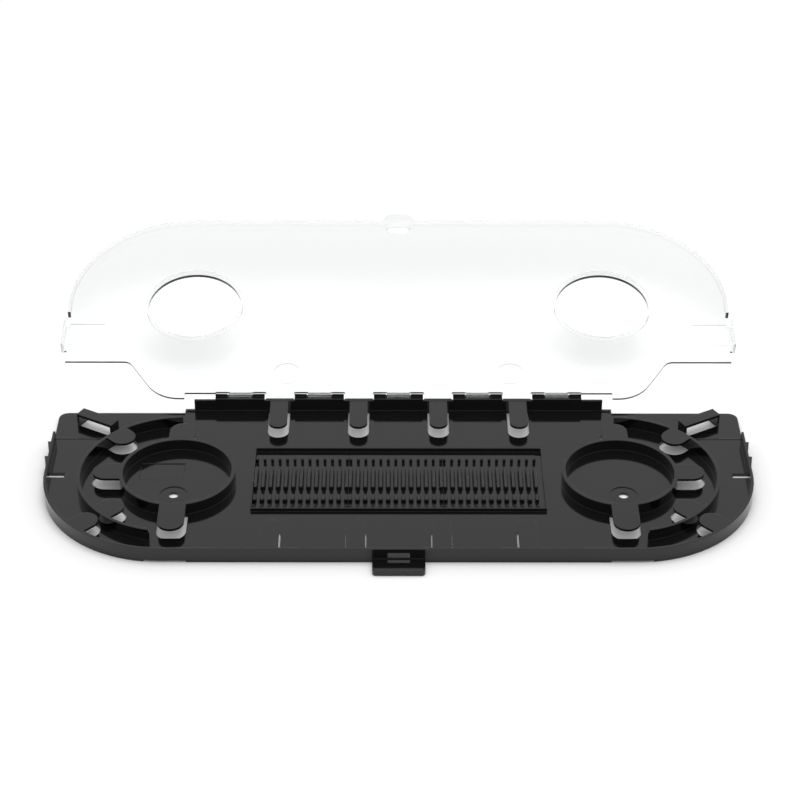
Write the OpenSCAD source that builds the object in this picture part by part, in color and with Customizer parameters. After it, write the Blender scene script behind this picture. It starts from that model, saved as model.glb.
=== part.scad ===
// Fibre splice tray: a moulded base with two bobbins, three splice holders and a clear hinged lid.
// Millimetres. X runs along the hinge, +Y points to the hinge, Z = 0 is the underside of the base.

/* [Base] */
// thickness of the base floor
floor_t = 1.8; // [1.4:0.1:2.4]
// height of the outer, bobbin and guide walls above the floor
wall_h = 6.2; // [5.5:0.1:7]
// extra height of the rear wall
rear_extra = 0.2; // [0:0.1:0.3]
// thickness of the outer wall
wall_t = 1.5; // [1.2:0.1:2]
// centre of each rounded end, from the middle
corner_x = 117.8; // [110:0.1:125]
// centre of the rounded ends, along Y
corner_y = -1.8; // [-4:0.1:0]
// outer radius of the rounded ends
corner_r = 65; // [60:0.5:70]
// rear edge of the two entry platforms
entry_y = 62.7; // [60:0.1:64]
// rounding of the rear corners of the entry platforms
entry_r = 5; // [2:0.5:8]
// half length of the rear wall
rear_half = 110.2; // [106:0.1:112]
// inner face of the rear wall
rear_y = 65.3; // [64:0.1:66]

/* [Bobbins and guides] */
// centre of each bobbin, from the middle
bobbin_x = 114.3; // [110:0.1:118]
// outer radius of a bobbin: the smallest bend for the fibre
bobbin_r = 30; // [28:0.5:32]
// thickness of a bobbin wall
bobbin_t = 1.9; // [1.4:0.1:2.2]
// mid radius of the curved guide wall
guide_r = 50.7; // [48:0.1:53]
// thickness of the curved guide wall
guide_t = 1.6; // [1.2:0.1:2]
// radius of the screw hole in each bobbin
screw_r = 2.6; // [2:0.1:3]
// distance of the screw hole in front of the bobbin centre
screw_back = 12.2; // [10:0.1:16]

/* [Fibre tabs] */
// thickness of every fibre tab
tab_t = 1.3; // [1:0.1:1.6]
// width of the tabs at the bobbins and guides
tab_w = 13.4; // [12:0.1:14]
// width of the tabs on the straight walls
slim_w = 9.7; // [8:0.1:11]
// pitch of the straight-wall tabs and of the hinge knuckles
pitch = 42.8; // [42:0.1:43]

/* [Splice holders] */
// spacing of the ribs
rib_pitch = 3.92; // [3.9:0.01:3.94]
// height of the ribs above the floor
rib_h = 3; // [2.5:0.1:4]
// width of a rib at its foot
foot_w = 2.7; // [2.4:0.05:2.9]
// width of a rib near its top, and of the posts
head_w = 1.6; // [1.4:0.05:1.7]
// gap between neighbouring holders
holder_gap = 0.21; // [0.1:0.01:0.3]

/* [Lid] */
// thickness of the lid sheet
lid_t = 1.2; // [1:0.1:1.4]
// air between the rear wall and the closed lid
lid_gap = 0.35; // [0.3:0.05:0.5]
// height of the lid skirt
skirt_h = 3.2; // [2.5:0.1:4]
// thickness of the lid skirt
skirt_t = 1.6; // [1.2:0.1:2]
// air between the outer wall and the skirt
skirt_gap = 0.5; // [0.4:0.05:0.8]
// outer radius of the lid collars
collar_r = 27; // [26:0.1:27.5]
// wall of a lid collar
collar_t = 1; // [0.8:0.1:1.4]
// height of a lid collar
collar_h = 3.3; // [2.5:0.1:4]
// opening angle of the lid as shown
open_angle = 166.5; // [150:0.5:168]

/* [Hinge] */
// hinge axis, along Y
hinge_y = 69.2; // [69:0.1:69.4]
// hinge axis, above the underside
hinge_z = 8; // [7.9:0.1:8.1]
// radius of the hinge rods
rod_r = 1.2; // [1.1:0.05:1.2]
// running clearance of a hook on its rod
rod_gap = 0.05; // [0.03:0.01:0.1]
// length of a hinge knuckle
knuckle_l = 26.6; // [26:0.1:27]
// length of the bare rod in a knuckle
rod_l = 13.4; // [13:0.1:14]
// rise of the rear wall at a knuckle
lug_rise = 0.95; // [0.8:0.05:1.1]
// top of a knuckle above the hinge axis
lug_h = 2.6; // [2.4:0.1:2.7]

/* [Hidden] */
$fn = 96;
e = 0.01;
top = floor_t + wall_h;
rear_top = top + rear_extra;
rear_t = 1.4;
front_y = corner_y - corner_r;
side_x = corner_x + corner_r;
side_end = 36;
side_t = 1.2;
reach = 2 * side_x;
screw_x = bobbin_x + 1.3;
shelf_half = 13.1;
shelf_y = front_y - 10.9;
lip_t = 0.9;
bridge_l = 22.6;
bridge_t = 1.6;
frame_half = 75.4;
frame_rear = 27.8;
frame_front = -26.9;
rail_t = 1.1;
side_rail_t = 0.6;
rail_h = 1.9;
seat_depth = 0.5;
seat_gap = 0.02;
plate_t = 0.8;
rib_n = 12;
holder_l = rib_n * rib_pitch + head_w;
holder_pitch = holder_l + holder_gap;
rib_first = -frame_half + side_rail_t + head_w / 2 + 0.2;
rib_top = rib_h + seat_depth;
post_rear = frame_rear - 11.2;
rib_rear = frame_rear - 18.6;
rib_front = frame_rear - 36.5;
short_rear = frame_front + 11.9;
short_front = frame_front + 7.1;
post_front = frame_front + 2.1;
lid_z = rear_top + lid_gap;
lid_out = skirt_gap + skirt_t;
sheet_edge = 183.2;
hinge_edge = 3.6;
clip_front = 15.3;
clip_rear = 34;
skirt_end = 6.8;
arm_gap = 0.32;
arm_top = hinge_z + 2.3;
tongue_l = 5.9;
flat_y = 42.1;
ear_r = 20.5;
ear_x = 119;
ear_y = 69.5;
step_x = 116;

// ---- outlines ----

// flat shape of the front half with its two round ends, inset by d, up to y_end
module end_shape(d, y_end) {
    intersection() {
        union() {
            for (s = [-1, 1])
                translate([s * corner_x, corner_y])
                    circle(r = corner_r - d);
            translate([-corner_x, front_y + d])
                square([2 * corner_x, corner_r - d]);
            translate([-(side_x - d), corner_y])
                square([2 * (side_x - d), y_end - corner_y]);
        }
        translate([-reach, -reach])
            square([2 * reach, reach + y_end]);
    }
}

// flat shape of one fibre tab: root at the origin, pointing along +X
module tab_shape(w, l, root) {
    translate([-root, -w / 2])
        square([l + root - w / 2, w]);
    translate([l - w / 2, 0])
        circle(d = w);
}

// places children at every fibre tab: width, length and root overlap for each
module straight_tabs(grow, front_grow) {
    for (k = [-1.5, -0.5, 0.5, 1.5]) {
        translate([k * pitch, rear_y])
            rotate(-90)
                tab_shape(slim_w + 2 * grow, rear_y - 40.3 + grow, 1);
        translate([k * pitch * 1.003, front_y + wall_t])
            rotate(90)
                tab_shape(slim_w + 2 * front_grow, -41.8 - front_y - wall_t + front_grow, 1);
    }
}

module bobbin_tabs(grow) {
    w = tab_w + 2 * grow;
    for (s = [-1, 1])
        translate([s * bobbin_x, 0])
            mirror([s > 0 ? 1 : 0, 0, 0]) {
                    // front, rear and outer side of the bobbin
                    rotate(-90)
                        translate([bobbin_r - 1, 0])
                            tab_shape(w, 21.4 + grow, 0);
                    rotate(90)
                        translate([bobbin_r - 1, 0])
                            tab_shape(w, 14.6 + grow, 0);
                    rotate(180)
                        translate([bobbin_r - 1, 0.3])
                            tab_shape(w, 14.6 + grow, 0);
                    // curved guide, rear and front
                    for (a = [135, 225])
                        rotate(a)
                            translate([guide_r, 0])
                                rotate(180)
                                    tab_shape(w, guide_r - 37.4 + grow, 0);
                    // outer wall
                    rotate(225)
                        translate([67.5, 0])
                            rotate(180)
                                tab_shape(w - 0.6, 13.4 + grow, 0);
                }
}

// ---- base ----

module base_outline() {
    // the front half ends inside the outer wall
    end_shape(side_t / 2, side_end - 1);
    translate([-side_x, side_end - 2])
        square([2 * side_x, entry_y - entry_r - side_end + 2]);
    translate([-(side_x - entry_r), side_end])
        square([2 * (side_x - entry_r), entry_y - side_end]);
    for (s = [-1, 1])
        translate([s * (side_x - entry_r), entry_y - entry_r])
            circle(r = entry_r);
    translate([-rear_half - 5, side_end])
        square([2 * rear_half + 10, rear_y + rear_t - side_end]);
    // shelf under the lid latch
    translate([-shelf_half, shelf_y + 2])
        square([2 * shelf_half, front_y - shelf_y]);
    translate([-shelf_half + 2, shelf_y])
        square([2 * shelf_half - 4, front_y - shelf_y]);
    for (s = [-1, 1])
        translate([s * (shelf_half - 2), shelf_y + 2])
            circle(r = 2);
}

// slanted bridge for a cable tie: plate and two legs
module tie_bridge() {
    translate([-160.8, 49.7, floor_t - e])
        rotate(-30) {
            translate([-bridge_l / 2, -3.2, wall_h - bridge_t + e])
                cube([bridge_l, 6.4, bridge_t]);
            for (x = [-bridge_l / 2, bridge_l / 2 - 1.1])
                translate([x, -3.2, 0])
                    cube([1.1, 6.4, wall_h]);
        }
}

// outer wall round the front, thinner along the straight sides
module outer_wall() {
    translate([-corner_x, front_y, 0])
        cube([2 * corner_x, wall_t, top]);
    for (m = [0, 1])
        mirror([m, 0, 0]) {
            translate([corner_x, corner_y, 0])
                rotate([0, 0, -90])
                    rotate_extrude(angle = 90)
                        translate([corner_r - wall_t, 0])
                            square([wall_t, top]);
            translate([side_x - side_t, corner_y, 0])
                cube([side_t, side_end - corner_y, top]);
        }
}

// saw teeth on the outside of the side wall
module side_teeth() {
    for (y = [26.6, 13.2])
        linear_extrude(top)
            polygon([[-side_x + 0.5, y], [-side_x - 1.6, y], [-side_x, y - 9.2], [-side_x + 0.5, y - 9.2]]);
}

module hinge_knuckle() {
    a = (knuckle_l - rod_l) / 2;
    wall_top = rear_top + lug_rise;
    // raised part of the rear wall
    translate([-knuckle_l / 2, rear_y, rear_top - e])
        cube([knuckle_l, rear_t, lug_rise + e]);
    // two lugs that carry the rod
    for (x = [-knuckle_l / 2, knuckle_l / 2 - a])
        translate([x, 0, 0])
            rotate([90, 0, 90])
                linear_extrude(a)
                    polygon([
                        [rear_y + rear_t - e, hinge_z - 2.6], [rear_y + rear_t - e, wall_top],
                        [hinge_y - 1.25, wall_top], [hinge_y - 1.25, hinge_z + lug_h],
                        [hinge_y - 0.9, hinge_z + lug_h], [hinge_y + 1.2, hinge_z + lug_h - 1.7],
                        [hinge_y + 1.2, hinge_z - 2.6]
                    ]);
    translate([-knuckle_l / 2 + 1, hinge_y, hinge_z])
        rotate([0, 90, 0])
            cylinder(r = rod_r, h = knuckle_l - 2);
}

module splice_frame() {
    translate([-frame_half, frame_front, floor_t - e])
        difference() {
            cube([2 * frame_half, frame_rear - frame_front, rail_h + e]);
            translate([side_rail_t, rail_t, -1])
                cube([2 * (frame_half - side_rail_t), frame_rear - frame_front - 2 * rail_t, rail_h + 2]);
        }
}

module floor_cuts() {
    // openings under the fibre tabs
    translate([0, 0, -1])
        linear_extrude(floor_t + 1 + e) {
            difference() {
                straight_tabs(0.9, 0.5);
                translate([-reach, rear_y])
                    square([2 * reach, wall_h]);
                translate([-reach, front_y + wall_t - wall_h])
                    square([2 * reach, wall_h]);
            }
            difference() {
                bobbin_tabs(0.9);
                for (s = [-1, 1])
                    translate([s * bobbin_x, 0]) {
                        circle(r = bobbin_r);
                        difference() {
                            circle(r = 90);
                            circle(r = 66.7);
                        }
                        difference() {
                            circle(r = guide_r + guide_t / 2);
                            circle(r = guide_r - guide_t / 2);
                        }
                    }
            }
        }
    for (m = [0, 1])
        mirror([m, 0, 0]) {
            // opening under the tie bridge
            translate([-160.8, 49.7, -1])
                rotate(-30)
                    translate([-bridge_l / 2 + 1.1, -4.1, 0])
                        cube([bridge_l - 2.8, 9.6, floor_t + 1 + e]);
            // slot at the foot of the side wall
            translate([-side_x - 3, 2.8, -1])
                cube([side_x + 3 - 173.6, 3.9, floor_t + 1 + e]);
            // screw hole and its spot face
            translate([-screw_x, -screw_back, -1])
                cylinder(r = screw_r, h = floor_t + 2);
            translate([-screw_x, -screw_back, floor_t - 0.4])
                cylinder(r = 7, h = 1);
            // shallow notch under the front edge
            translate([-126.2, front_y - 1, -1])
                cube([21, 3.5, 2]);
        }
    // seat of the splice holders
    translate([-frame_half + side_rail_t, frame_front + rail_t, floor_t - seat_depth])
        cube([2 * (frame_half - side_rail_t), frame_rear - frame_front - 2 * rail_t, 2]);
    // bare label recess in the left bobbin
    translate([-134.4, 0.6, floor_t - 0.4])
        cube([22.8, 14.8, 1]);
}

module tray() {
    color([0.06, 0.06, 0.065]) {
        difference() {
            union() {
                linear_extrude(floor_t)
                    base_outline();
                outer_wall();
                for (m = [0, 1])
                    mirror([m, 0, 0])
                        side_teeth();
            }
            floor_cuts();
            // latch window in the front wall
            translate([-5.5, front_y - 1, floor_t + 1.1])
                cube([11, wall_t + 2, 2.8]);
        }
        // rear wall
        translate([-rear_half, rear_y, 0])
            cube([2 * rear_half, rear_t, rear_top]);
        for (k = [-2:2])
            translate([k * pitch, 0, 0])
                hinge_knuckle();
        // bobbins and curved guides
        for (s = [-1, 1])
            translate([s * bobbin_x, 0, floor_t - e])
                linear_extrude(wall_h + e)
                    difference() {
                        circle(r = bobbin_r);
                        circle(r = bobbin_r - bobbin_t);
                    }
        for (m = [0, 1])
            mirror([m, 0, 0])
                translate([-bobbin_x, -0.7, floor_t - e])
                    guide_wall();
        // fibre tabs, level with the wall tops
        translate([0, 0, top - tab_t])
            linear_extrude(tab_t)
                difference() {
                    union() {
                        straight_tabs(0, 0);
                        bobbin_tabs(0);
                    }
                    for (s = [-1, 1])
                        translate([s * bobbin_x, 0])
                            circle(r = bobbin_r - bobbin_t / 2);
                }
        for (m = [0, 1])
            mirror([m, 0, 0]) {
                tie_bridge();
                // low rib across the entry platform
                translate([-side_x + 0.6, 37.7, floor_t - e])
                    cube([26.4, 0.9, 0.25]);
            }
        splice_frame();
        latch_shelf();
    }
}

// raised floor and lip of the shelf under the lid latch
module latch_shelf() {
    translate([0, 0, floor_t - e]) {
        translate([-shelf_half + lip_t / 2, shelf_y + lip_t / 2, 0])
            cube([2 * shelf_half - lip_t, front_y - shelf_y, 0.3 + e]);
        for (x = [-shelf_half, shelf_half - lip_t])
            translate([x, shelf_y + 2, 0])
                cube([lip_t, front_y - shelf_y - 1.5, 0.6 + e]);
        translate([-shelf_half + 2, shelf_y, 0])
            cube([2 * shelf_half - 4, lip_t, 0.6 + e]);
        intersection() {
            translate([-reach, shelf_y, 0])
                cube([2 * reach, 2, 0.6 + e]);
            for (s = [-1, 1])
                translate([s * (shelf_half - 2), shelf_y + 2, 0])
                    difference() {
                        cylinder(r = 2, h = 0.6 + e);
                        translate([0, 0, -1])
                            cylinder(r = 2 - lip_t, h = 3);
                        translate([s > 0 ? -3 : 0, -2, -1])
                            cube([3, 5, 3]);
                    }
        }
    }
}

// curved wall from the rear of the bobbin round the outer side to the front
module guide_wall() {
    linear_extrude(wall_h + e)
        difference() {
            circle(r = guide_r + guide_t / 2);
            circle(r = guide_r - guide_t / 2);
            polygon([[0, 0], [-1, 60], [60, 60], [60, -60], [-12.6, -60]]);
        }
}

// ---- splice holders ----

module rib(y0, y1) {
    translate([0, y1, 0])
        rotate([90, 0, 0])
            linear_extrude(y1 - y0)
                polygon([
                    [-foot_w / 2, 0], [foot_w / 2, 0], [foot_w / 2 - 0.1, plate_t + 0.3],
                    [head_w / 2, rib_top - 0.6], [head_w / 2 - 0.45, rib_top],
                    [-head_w / 2 + 0.45, rib_top], [-head_w / 2, rib_top - 0.6],
                    [-foot_w / 2 + 0.1, plate_t + 0.3]
                ]);
}

module splice_holder(i) {
    color([0.07, 0.07, 0.075])
        translate([rib_first + i * holder_pitch, 0, floor_t - seat_depth + seat_gap])
            intersection() {
                translate([-head_w / 2, frame_front, 0])
                    cube([holder_l, frame_rear - frame_front, rib_h * 2]);
                union() {
                    translate([-head_w, frame_front + rail_t + 0.1, 0])
                        cube([holder_l + head_w, frame_rear - frame_front - 2 * rail_t - 0.2, plate_t]);
                    for (k = [0:rib_n])
                        translate([k * rib_pitch, 0, 0]) {
                            rib(rib_front, rib_rear);
                            rib(short_front, short_rear);
                            for (y = [post_rear, post_front])
                                translate([0, y, 0])
                                    cylinder(d = head_w, h = rib_top);
                        }
                }
            }
}

// ---- lid, drawn closed ----

module ear_outline() {
    // slanted flank with a round outer corner and a filleted inner corner
    intersection() {
        union() {
            translate([-ear_x, ear_y - ear_r])
                circle(r = ear_r);
            polygon([[-147.8, flat_y], [-136.35, 59.94], [-ear_x, ear_y - ear_r], [-ear_x, 0], [-147.8, 0]]);
        }
        translate([-200, 0])
            square([200 - ear_x + 0.01, 80]);
    }
    translate([-ear_x, 0])
        square([ear_x - step_x, ear_y]);
    difference() {
        polygon([[-150.9, flat_y - 1], [-150.9, flat_y], [-146.15, flat_y + 2.63], [-146.15, flat_y - 1]]);
        translate([-150.9, flat_y + 5.5])
            circle(r = 5.5);
    }
}

module lid_outline() {
    end_shape(-lid_out, skirt_end);
    translate([-sheet_edge, 0])
        square([2 * sheet_edge, flat_y]);
    difference() {
        translate([-step_x, 0])
            square([2 * step_x, hinge_y - hinge_edge]);
        // cut back in front of the raised parts of the rear wall
        for (k = [-2:2])
            translate([k * pitch - knuckle_l / 2 - 0.3, rear_y - 0.35])
                square([knuckle_l + 0.6, hinge_edge]);
    }
    for (m = [0, 1])
        mirror([m, 0])
            ear_outline();
    // pads between the hinge knuckles
    for (k = [-1.5, -0.5, 0.5, 1.5])
        translate([k * pitch - 7.5, 40])
            square([15, hinge_y + 0.5 - 40]);
    // roots of the side clips
    translate([-(side_x + 3.2), clip_front])
        square([2 * (side_x + 3.2), clip_rear - clip_front]);
}

module lid_hook() {
    translate([-6.3, hinge_y, hinge_z])
        rotate([0, 90, 0])
            difference() {
                cylinder(r = rod_r + 0.85, h = 12.6);
                translate([0, 0, -1])
                    cylinder(r = rod_r + rod_gap, h = 15);
                // snap mouth below the rod
                translate([0.3, -0.8, -1])
                    cube([4, 1.6, 15]);
            }
    // arm over the rear wall
    translate([-6.3, 0, 0])
        rotate([90, 0, 90])
            linear_extrude(12.6)
                polygon([
                    [rear_y - 4, lid_z + lid_t - 0.1], [rear_y - 2.6, arm_top], [hinge_y + 0.5, arm_top],
                    [hinge_y + 0.5, rear_top + lug_rise + arm_gap], [rear_y - 0.35, rear_top + lug_rise + arm_gap],
                    [rear_y - 0.35, lid_z + 0.4], [rear_y - 3.6, lid_z + 0.4]
                ]);
}

module latch_tongue() {
    intersection() {
        translate([-12, 0, 0])
            rotate([90, 0, 90])
                linear_extrude(24)
                    polygon([
                        [front_y - skirt_gap, lid_z + 0.5], [front_y - skirt_gap, lid_z - 1],
                        [front_y - 3.4, lid_z - tongue_l], [front_y - 4.4, lid_z - tongue_l],
                        [front_y - lid_out, lid_z - 1.2], [front_y - lid_out, lid_z + 0.5]
                    ]);
        rotate([90, 0, 0])
            translate([0, 0, -front_y - 2])
                linear_extrude(10)
                    polygon([
                        [-9, lid_z + 0.5], [-9, lid_z - 3.2], [-5.6, lid_z - tongue_l],
                        [5.6, lid_z - tongue_l], [9, lid_z - 3.2], [9, lid_z + 0.5]
                    ]);
    }
}

module lid_closed() {
    difference() {
        union() {
            translate([0, 0, lid_z])
                linear_extrude(lid_t)
                    lid_outline();
            // skirt outside the outer wall
            translate([0, 0, lid_z - skirt_h])
                linear_extrude(skirt_h + e)
                    difference() {
                        end_shape(-lid_out, skirt_end);
                        end_shape(-skirt_gap, skirt_end + 1);
                    }
            // collars that drop into the bobbins
            for (s = [-1, 1])
                translate([s * bobbin_x, 0, lid_z - collar_h])
                    cylinder(r = collar_r, h = collar_h + e);
            // side clips
            for (s = [-1, 1])
                translate([s * (side_x + 2.6) - 0.6, clip_front, lid_z - 5.5])
                    cube([1.2, clip_rear - clip_front, 5.5 + e]);
        }
        for (s = [-1, 1]) {
            translate([s * bobbin_x, 0, lid_z - 10])
                cylinder(r = collar_r - collar_t, h = 20);
            // shallow disc and rectangle marks on the inner face
            translate([s * 61, 51.1, lid_z - 1])
                cylinder(r = 7.6, h = 1.25);
            translate([s * 173.4 - 9.6, 13.4, lid_z - 1])
                cube([19.2, 15.7, 1.25]);
        }
        // slot behind the latch tongue
        translate([0, front_y + 2.3, lid_z - 1])
            linear_extrude(4) {
                translate([-4.1, -2.5])
                    square([8.2, 5]);
                for (s = [-1, 1])
                    translate([s * 4.1, 0])
                        circle(r = 2.5);
            }
    }
    latch_tongue();
    for (k = [-2:2])
        translate([k * pitch, 0, 0])
            lid_hook();
}

module lid() {
    color([0.93, 0.95, 0.95, 0.35])
        translate([0, hinge_y, hinge_z])
            rotate([-open_angle, 0, 0])
                translate([0, -hinge_y, -hinge_z])
                    lid_closed();
}

tray();
lid();
splice_holder(0);  // splice_holder_left
splice_holder(1);  // splice_holder_middle
splice_holder(2);  // splice_holder_right
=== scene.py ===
import math

import bpy
from mathutils import Matrix, Vector


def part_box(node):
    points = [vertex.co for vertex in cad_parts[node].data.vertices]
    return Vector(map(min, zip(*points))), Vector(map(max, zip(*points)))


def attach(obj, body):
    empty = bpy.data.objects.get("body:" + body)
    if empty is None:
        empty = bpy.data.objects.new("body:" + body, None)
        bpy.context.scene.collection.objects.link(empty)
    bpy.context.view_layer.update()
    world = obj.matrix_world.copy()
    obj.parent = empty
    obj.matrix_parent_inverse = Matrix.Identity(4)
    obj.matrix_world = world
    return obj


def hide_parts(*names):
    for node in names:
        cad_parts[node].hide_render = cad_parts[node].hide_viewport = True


MM = 0.001
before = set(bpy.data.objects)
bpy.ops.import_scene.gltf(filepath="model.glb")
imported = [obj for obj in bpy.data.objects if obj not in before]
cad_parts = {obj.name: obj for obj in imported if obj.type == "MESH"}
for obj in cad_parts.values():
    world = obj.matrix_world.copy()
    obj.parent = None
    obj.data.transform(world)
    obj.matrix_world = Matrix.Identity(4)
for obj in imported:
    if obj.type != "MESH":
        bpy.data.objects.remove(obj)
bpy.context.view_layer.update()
scene = bpy.context.scene


# ---- materials ----

def new_material(name):
    """A material with an empty tree and an output node."""
    mat = bpy.data.materials.new(name)
    mat.use_nodes = True
    tree = mat.node_tree
    tree.nodes.clear()
    return mat, tree, tree.nodes.new("ShaderNodeOutputMaterial")


def add_node(tree, kind, **inputs):
    """A node with constants on its own sockets; an underscore in a name stands for a space."""
    node = tree.nodes.new(kind)
    for key, value in inputs.items():
        node.inputs[key.replace("_", " ")].default_value = value
    return node


def black_plastic(name, base, rough, edge):
    """Glossy moulded plastic with slightly uneven gloss and edges rounded over a radius in metres."""
    mat, tree, out = new_material(name)
    bsdf = add_node(tree, "ShaderNodeBsdfPrincipled", Base_Color=(*base, 1), IOR=1.5)
    coord = tree.nodes.new("ShaderNodeTexCoord")
    grain = add_node(tree, "ShaderNodeTexNoise", Scale=60, Detail=3)
    spread = add_node(tree, "ShaderNodeMapRange", To_Min=rough * 0.8, To_Max=rough * 1.25)
    rim = add_node(tree, "ShaderNodeBevel", Radius=edge)
    rim.samples = 6
    tree.links.new(coord.outputs["Object"], grain.inputs["Vector"])
    tree.links.new(grain.outputs["Fac"], spread.inputs["Value"])
    tree.links.new(spread.outputs["Result"], bsdf.inputs["Roughness"])
    tree.links.new(rim.outputs["Normal"], bsdf.inputs["Normal"])
    tree.links.new(bsdf.outputs["BSDF"], out.inputs["Surface"])
    return mat


def clear_plastic(name):
    """Clear plastic with a light shadow, darker where light runs a long way inside it."""
    mat, tree, out = new_material(name)
    bsdf = add_node(tree, "ShaderNodeBsdfPrincipled", Base_Color=(0.935, 0.945, 0.945, 1), IOR=1.5,
                    Roughness=0.02, Transmission_Weight=1.0)
    shadow = add_node(tree, "ShaderNodeBsdfTransparent", Color=(0.93, 0.94, 0.94, 1))
    haze = add_node(tree, "ShaderNodeVolumeAbsorption", Color=(0.35, 0.38, 0.38, 1), Density=30)
    path = tree.nodes.new("ShaderNodeLightPath")
    mix = tree.nodes.new("ShaderNodeMixShader")
    tree.links.new(path.outputs["Is Shadow Ray"], mix.inputs["Fac"])
    tree.links.new(bsdf.outputs["BSDF"], mix.inputs[1])
    tree.links.new(shadow.outputs["BSDF"], mix.inputs[2])
    tree.links.new(mix.outputs["Shader"], out.inputs["Surface"])
    tree.links.new(haze.outputs["Volume"], out.inputs["Volume"])
    return mat


def floor_material():
    mat, tree, out = new_material("studio_floor")
    bsdf = add_node(tree, "ShaderNodeBsdfPrincipled", Base_Color=(0.93, 0.93, 0.93, 1), Roughness=0.9,
                    Specular_IOR_Level=0.0)
    tree.links.new(bsdf.outputs["BSDF"], out.inputs["Surface"])
    return mat


def dress(node, material):
    """Gives a CAD node a better material."""
    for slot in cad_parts[node].material_slots:
        slot.material = material


BLACK = (0.004, 0.004, 0.0043)
holder_black = black_plastic("holder_black", BLACK, rough=0.16, edge=0.2 * MM)
dress("tray", black_plastic("tray_black", BLACK, rough=0.1, edge=0.4 * MM))
dress("lid", clear_plastic("lid_clear"))


# ---- splice holders: tapered ribs with rounded ends, and domed posts ----
# All sizes here are in millimetres.

SLOTS = 12           # splice slots in a holder
EDGE = 0.8           # from a holder's side to its first rib line
PLATE_T = 0.3        # how far the plate shows above the tray's seat
PLATE_BACK = 3.2     # bare strip behind the plate
RIB = ((0.0, 1.35), (0.25, 1.25), (1.9, 0.85), (2.35, 0.68), (2.55, 0.4))   # height, half width
POST = ((0.0, 0.8), (2.2, 0.8), (2.45, 0.62), (2.6, 0.3))                   # height, radius
RIB_SPANS = ((-8.9, 9.4), (-20.0, -15.0))      # where ribs start and end along Y
POST_ROWS = (16.6, -24.7)                      # where posts stand along Y


def slot_shape(x, y0, y1, half, steps=6):
    """Outline of a slot shape that runs along Y."""
    points = []
    for centre, start in ((y0 + half, math.pi), (y1 - half, 0.0)):
        for i in range(steps + 1):
            a = start + math.pi * i / steps
            points.append((x + half * math.cos(a), centre + half * math.sin(a)))
    return points


def disc(x, y, radius, sides=16):
    turns = (2 * math.pi * i / sides for i in range(sides))
    return [(x + radius * math.cos(a), y + radius * math.sin(a)) for a in turns]


def stack(verts, faces, rings, z0):
    """Adds a solid made of equal rings of points, each at its own height."""
    first = len(verts)
    count = len(rings[0][1])
    for z, ring in rings:
        verts.extend((x * MM, y * MM, (z0 + z) * MM) for x, y in ring)
    for r in range(len(rings) - 1):
        for i in range(count):
            a = first + r * count + i
            b = first + r * count + (i + 1) % count
            faces.append((a, b, b + count, a + count))
    last = first + (len(rings) - 1) * count
    faces.append(tuple(range(first + count - 1, first - 1, -1)))
    faces.append(tuple(range(last, last + count)))


def holder(node):
    """Stands for a plain splice holder, with finer ribs and posts in the same places."""
    low, high = (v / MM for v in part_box(node))
    pitch = (high.x - low.x - 2 * EDGE) / SLOTS
    back = high.y - PLATE_BACK
    plate = [(low.x, low.y), (high.x, low.y), (high.x, back), (low.x, back)]
    verts, faces = [], []
    stack(verts, faces, [(0.0, plate), (PLATE_T, plate)], low.z)
    for k in range(SLOTS + 1):
        x = low.x + EDGE + k * pitch
        for y0, y1 in RIB_SPANS:
            rings = []
            for z, half in RIB:
                # the outer ribs are cut off at the holder's sides
                ring = slot_shape(x, y0, y1, half)
                rings.append((z, [(min(max(u, low.x), high.x), v) for u, v in ring]))
            stack(verts, faces, rings, low.z + PLATE_T)
        for y in POST_ROWS:
            stack(verts, faces, [(z, disc(x, y, r)) for z, r in POST], low.z + PLATE_T)
    mesh = bpy.data.meshes.new(node + "_ribs")
    mesh.from_pydata(verts, [], faces)
    mesh.materials.append(holder_black)
    piece = bpy.data.objects.new(node + "_ribs", mesh)
    scene.collection.objects.link(piece)
    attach(piece, "base")
    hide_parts(node)


for side in ("left", "middle", "right"):
    holder("splice_holder_" + side)


# ---- floor, world, light and camera ----

def studio_floor(half=8.0, drop=0.2 * MM):
    """A pale plane just under the part."""
    mesh = bpy.data.meshes.new("studio_floor")
    corners = [(-half, -half, -drop), (half, -half, -drop), (half, half, -drop), (-half, half, -drop)]
    mesh.from_pydata(corners, [], [(0, 1, 2, 3)])
    mesh.materials.append(floor_material())
    ground = bpy.data.objects.new("studio_floor", mesh)
    scene.collection.objects.link(ground)


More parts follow.
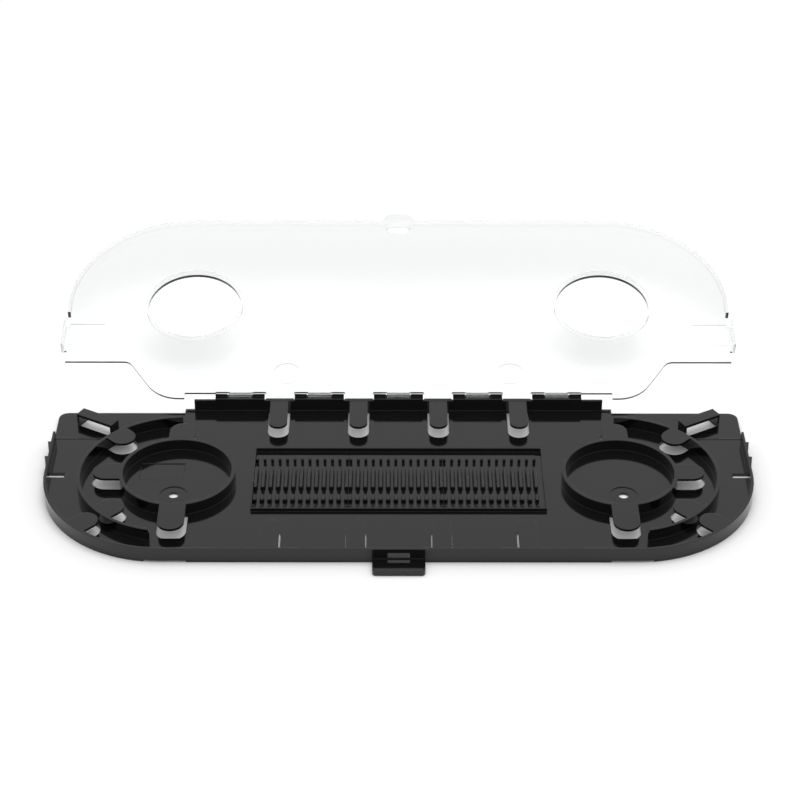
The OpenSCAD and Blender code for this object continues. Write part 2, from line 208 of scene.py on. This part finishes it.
def studio_world():
    """Soft light all round, and white where the camera sees it, also through the lid."""
    world = bpy.data.worlds.new("studio")
    scene.world = world
    world.use_nodes = True
    tree = world.node_tree
    tree.nodes.clear()
    out = tree.nodes.new("ShaderNodeOutputWorld")
    soft = add_node(tree, "ShaderNodeBackground", Color=(1, 1, 1, 1), Strength=0.815)
    white = add_node(tree, "ShaderNodeBackground", Color=(0.98, 0.98, 0.98, 1))
    path = tree.nodes.new("ShaderNodeLightPath")
    seen = tree.nodes.new("ShaderNodeMath")
    seen.operation = "MAXIMUM"
    mix = tree.nodes.new("ShaderNodeMixShader")
    tree.links.new(path.outputs["Is Camera Ray"], seen.inputs[0])
    tree.links.new(path.outputs["Is Transmission Ray"], seen.inputs[1])
    tree.links.new(seen.outputs[0], mix.inputs["Fac"])
    tree.links.new(soft.outputs["Background"], mix.inputs[1])
    tree.links.new(white.outputs["Background"], mix.inputs[2])
    tree.links.new(mix.outputs["Shader"], out.inputs["Surface"])


def area_light(name, place, aim, size, power):
    """A soft light that lights the floor but doesn't mirror in the plastic."""
    data = bpy.data.lights.new(name, "AREA")
    data.shape = "RECTANGLE"
    data.size, data.size_y = size
    data.energy = power
    lamp = bpy.data.objects.new(name, data)
    lamp.location = place
    lamp.rotation_mode = "QUATERNION"
    lamp.rotation_quaternion = (Vector(aim) - Vector(place)).to_track_quat("-Z", "Y")
    lamp.visible_glossy = False
    scene.collection.objects.link(lamp)


def camera(place, pitch, yaw, roll, lens):
    """A camera at a place in metres, with its angles in degrees: pitch down, yaw right, roll right."""
    pitch, yaw, roll = (math.radians(a) for a in (pitch, yaw, roll))
    ahead = Vector((math.sin(yaw) * math.cos(pitch), math.cos(yaw) * math.cos(pitch), -math.sin(pitch)))
    level = Vector((math.cos(yaw), -math.sin(yaw), 0))
    above = level.cross(ahead)
    right = level * math.cos(roll) + above * math.sin(roll)
    up = above * math.cos(roll) - level * math.sin(roll)
    data = bpy.data.cameras.new("camera")
    data.sensor_width = 36
    data.lens = lens
    data.clip_start, data.clip_end = 0.05, 50
    cam = bpy.data.objects.new("camera", data)
    turn = Matrix((right, up, -ahead)).transposed()
    cam.matrix_world = Matrix.Translation(Vector(place)) @ turn.to_4x4()
    scene.collection.objects.link(cam)
    scene.camera = cam


studio_floor()
studio_world()
area_light("key", place=(0.1, 0.15, 1.5), aim=(0, 0.05, 0), size=(1.1, 0.9), power=8.5)
camera(place=(-0.00282, -0.96874, 0.6936), pitch=33.519, yaw=0.203, roll=0.167, lens=103.356)
scene.view_settings.view_transform = "Standard"
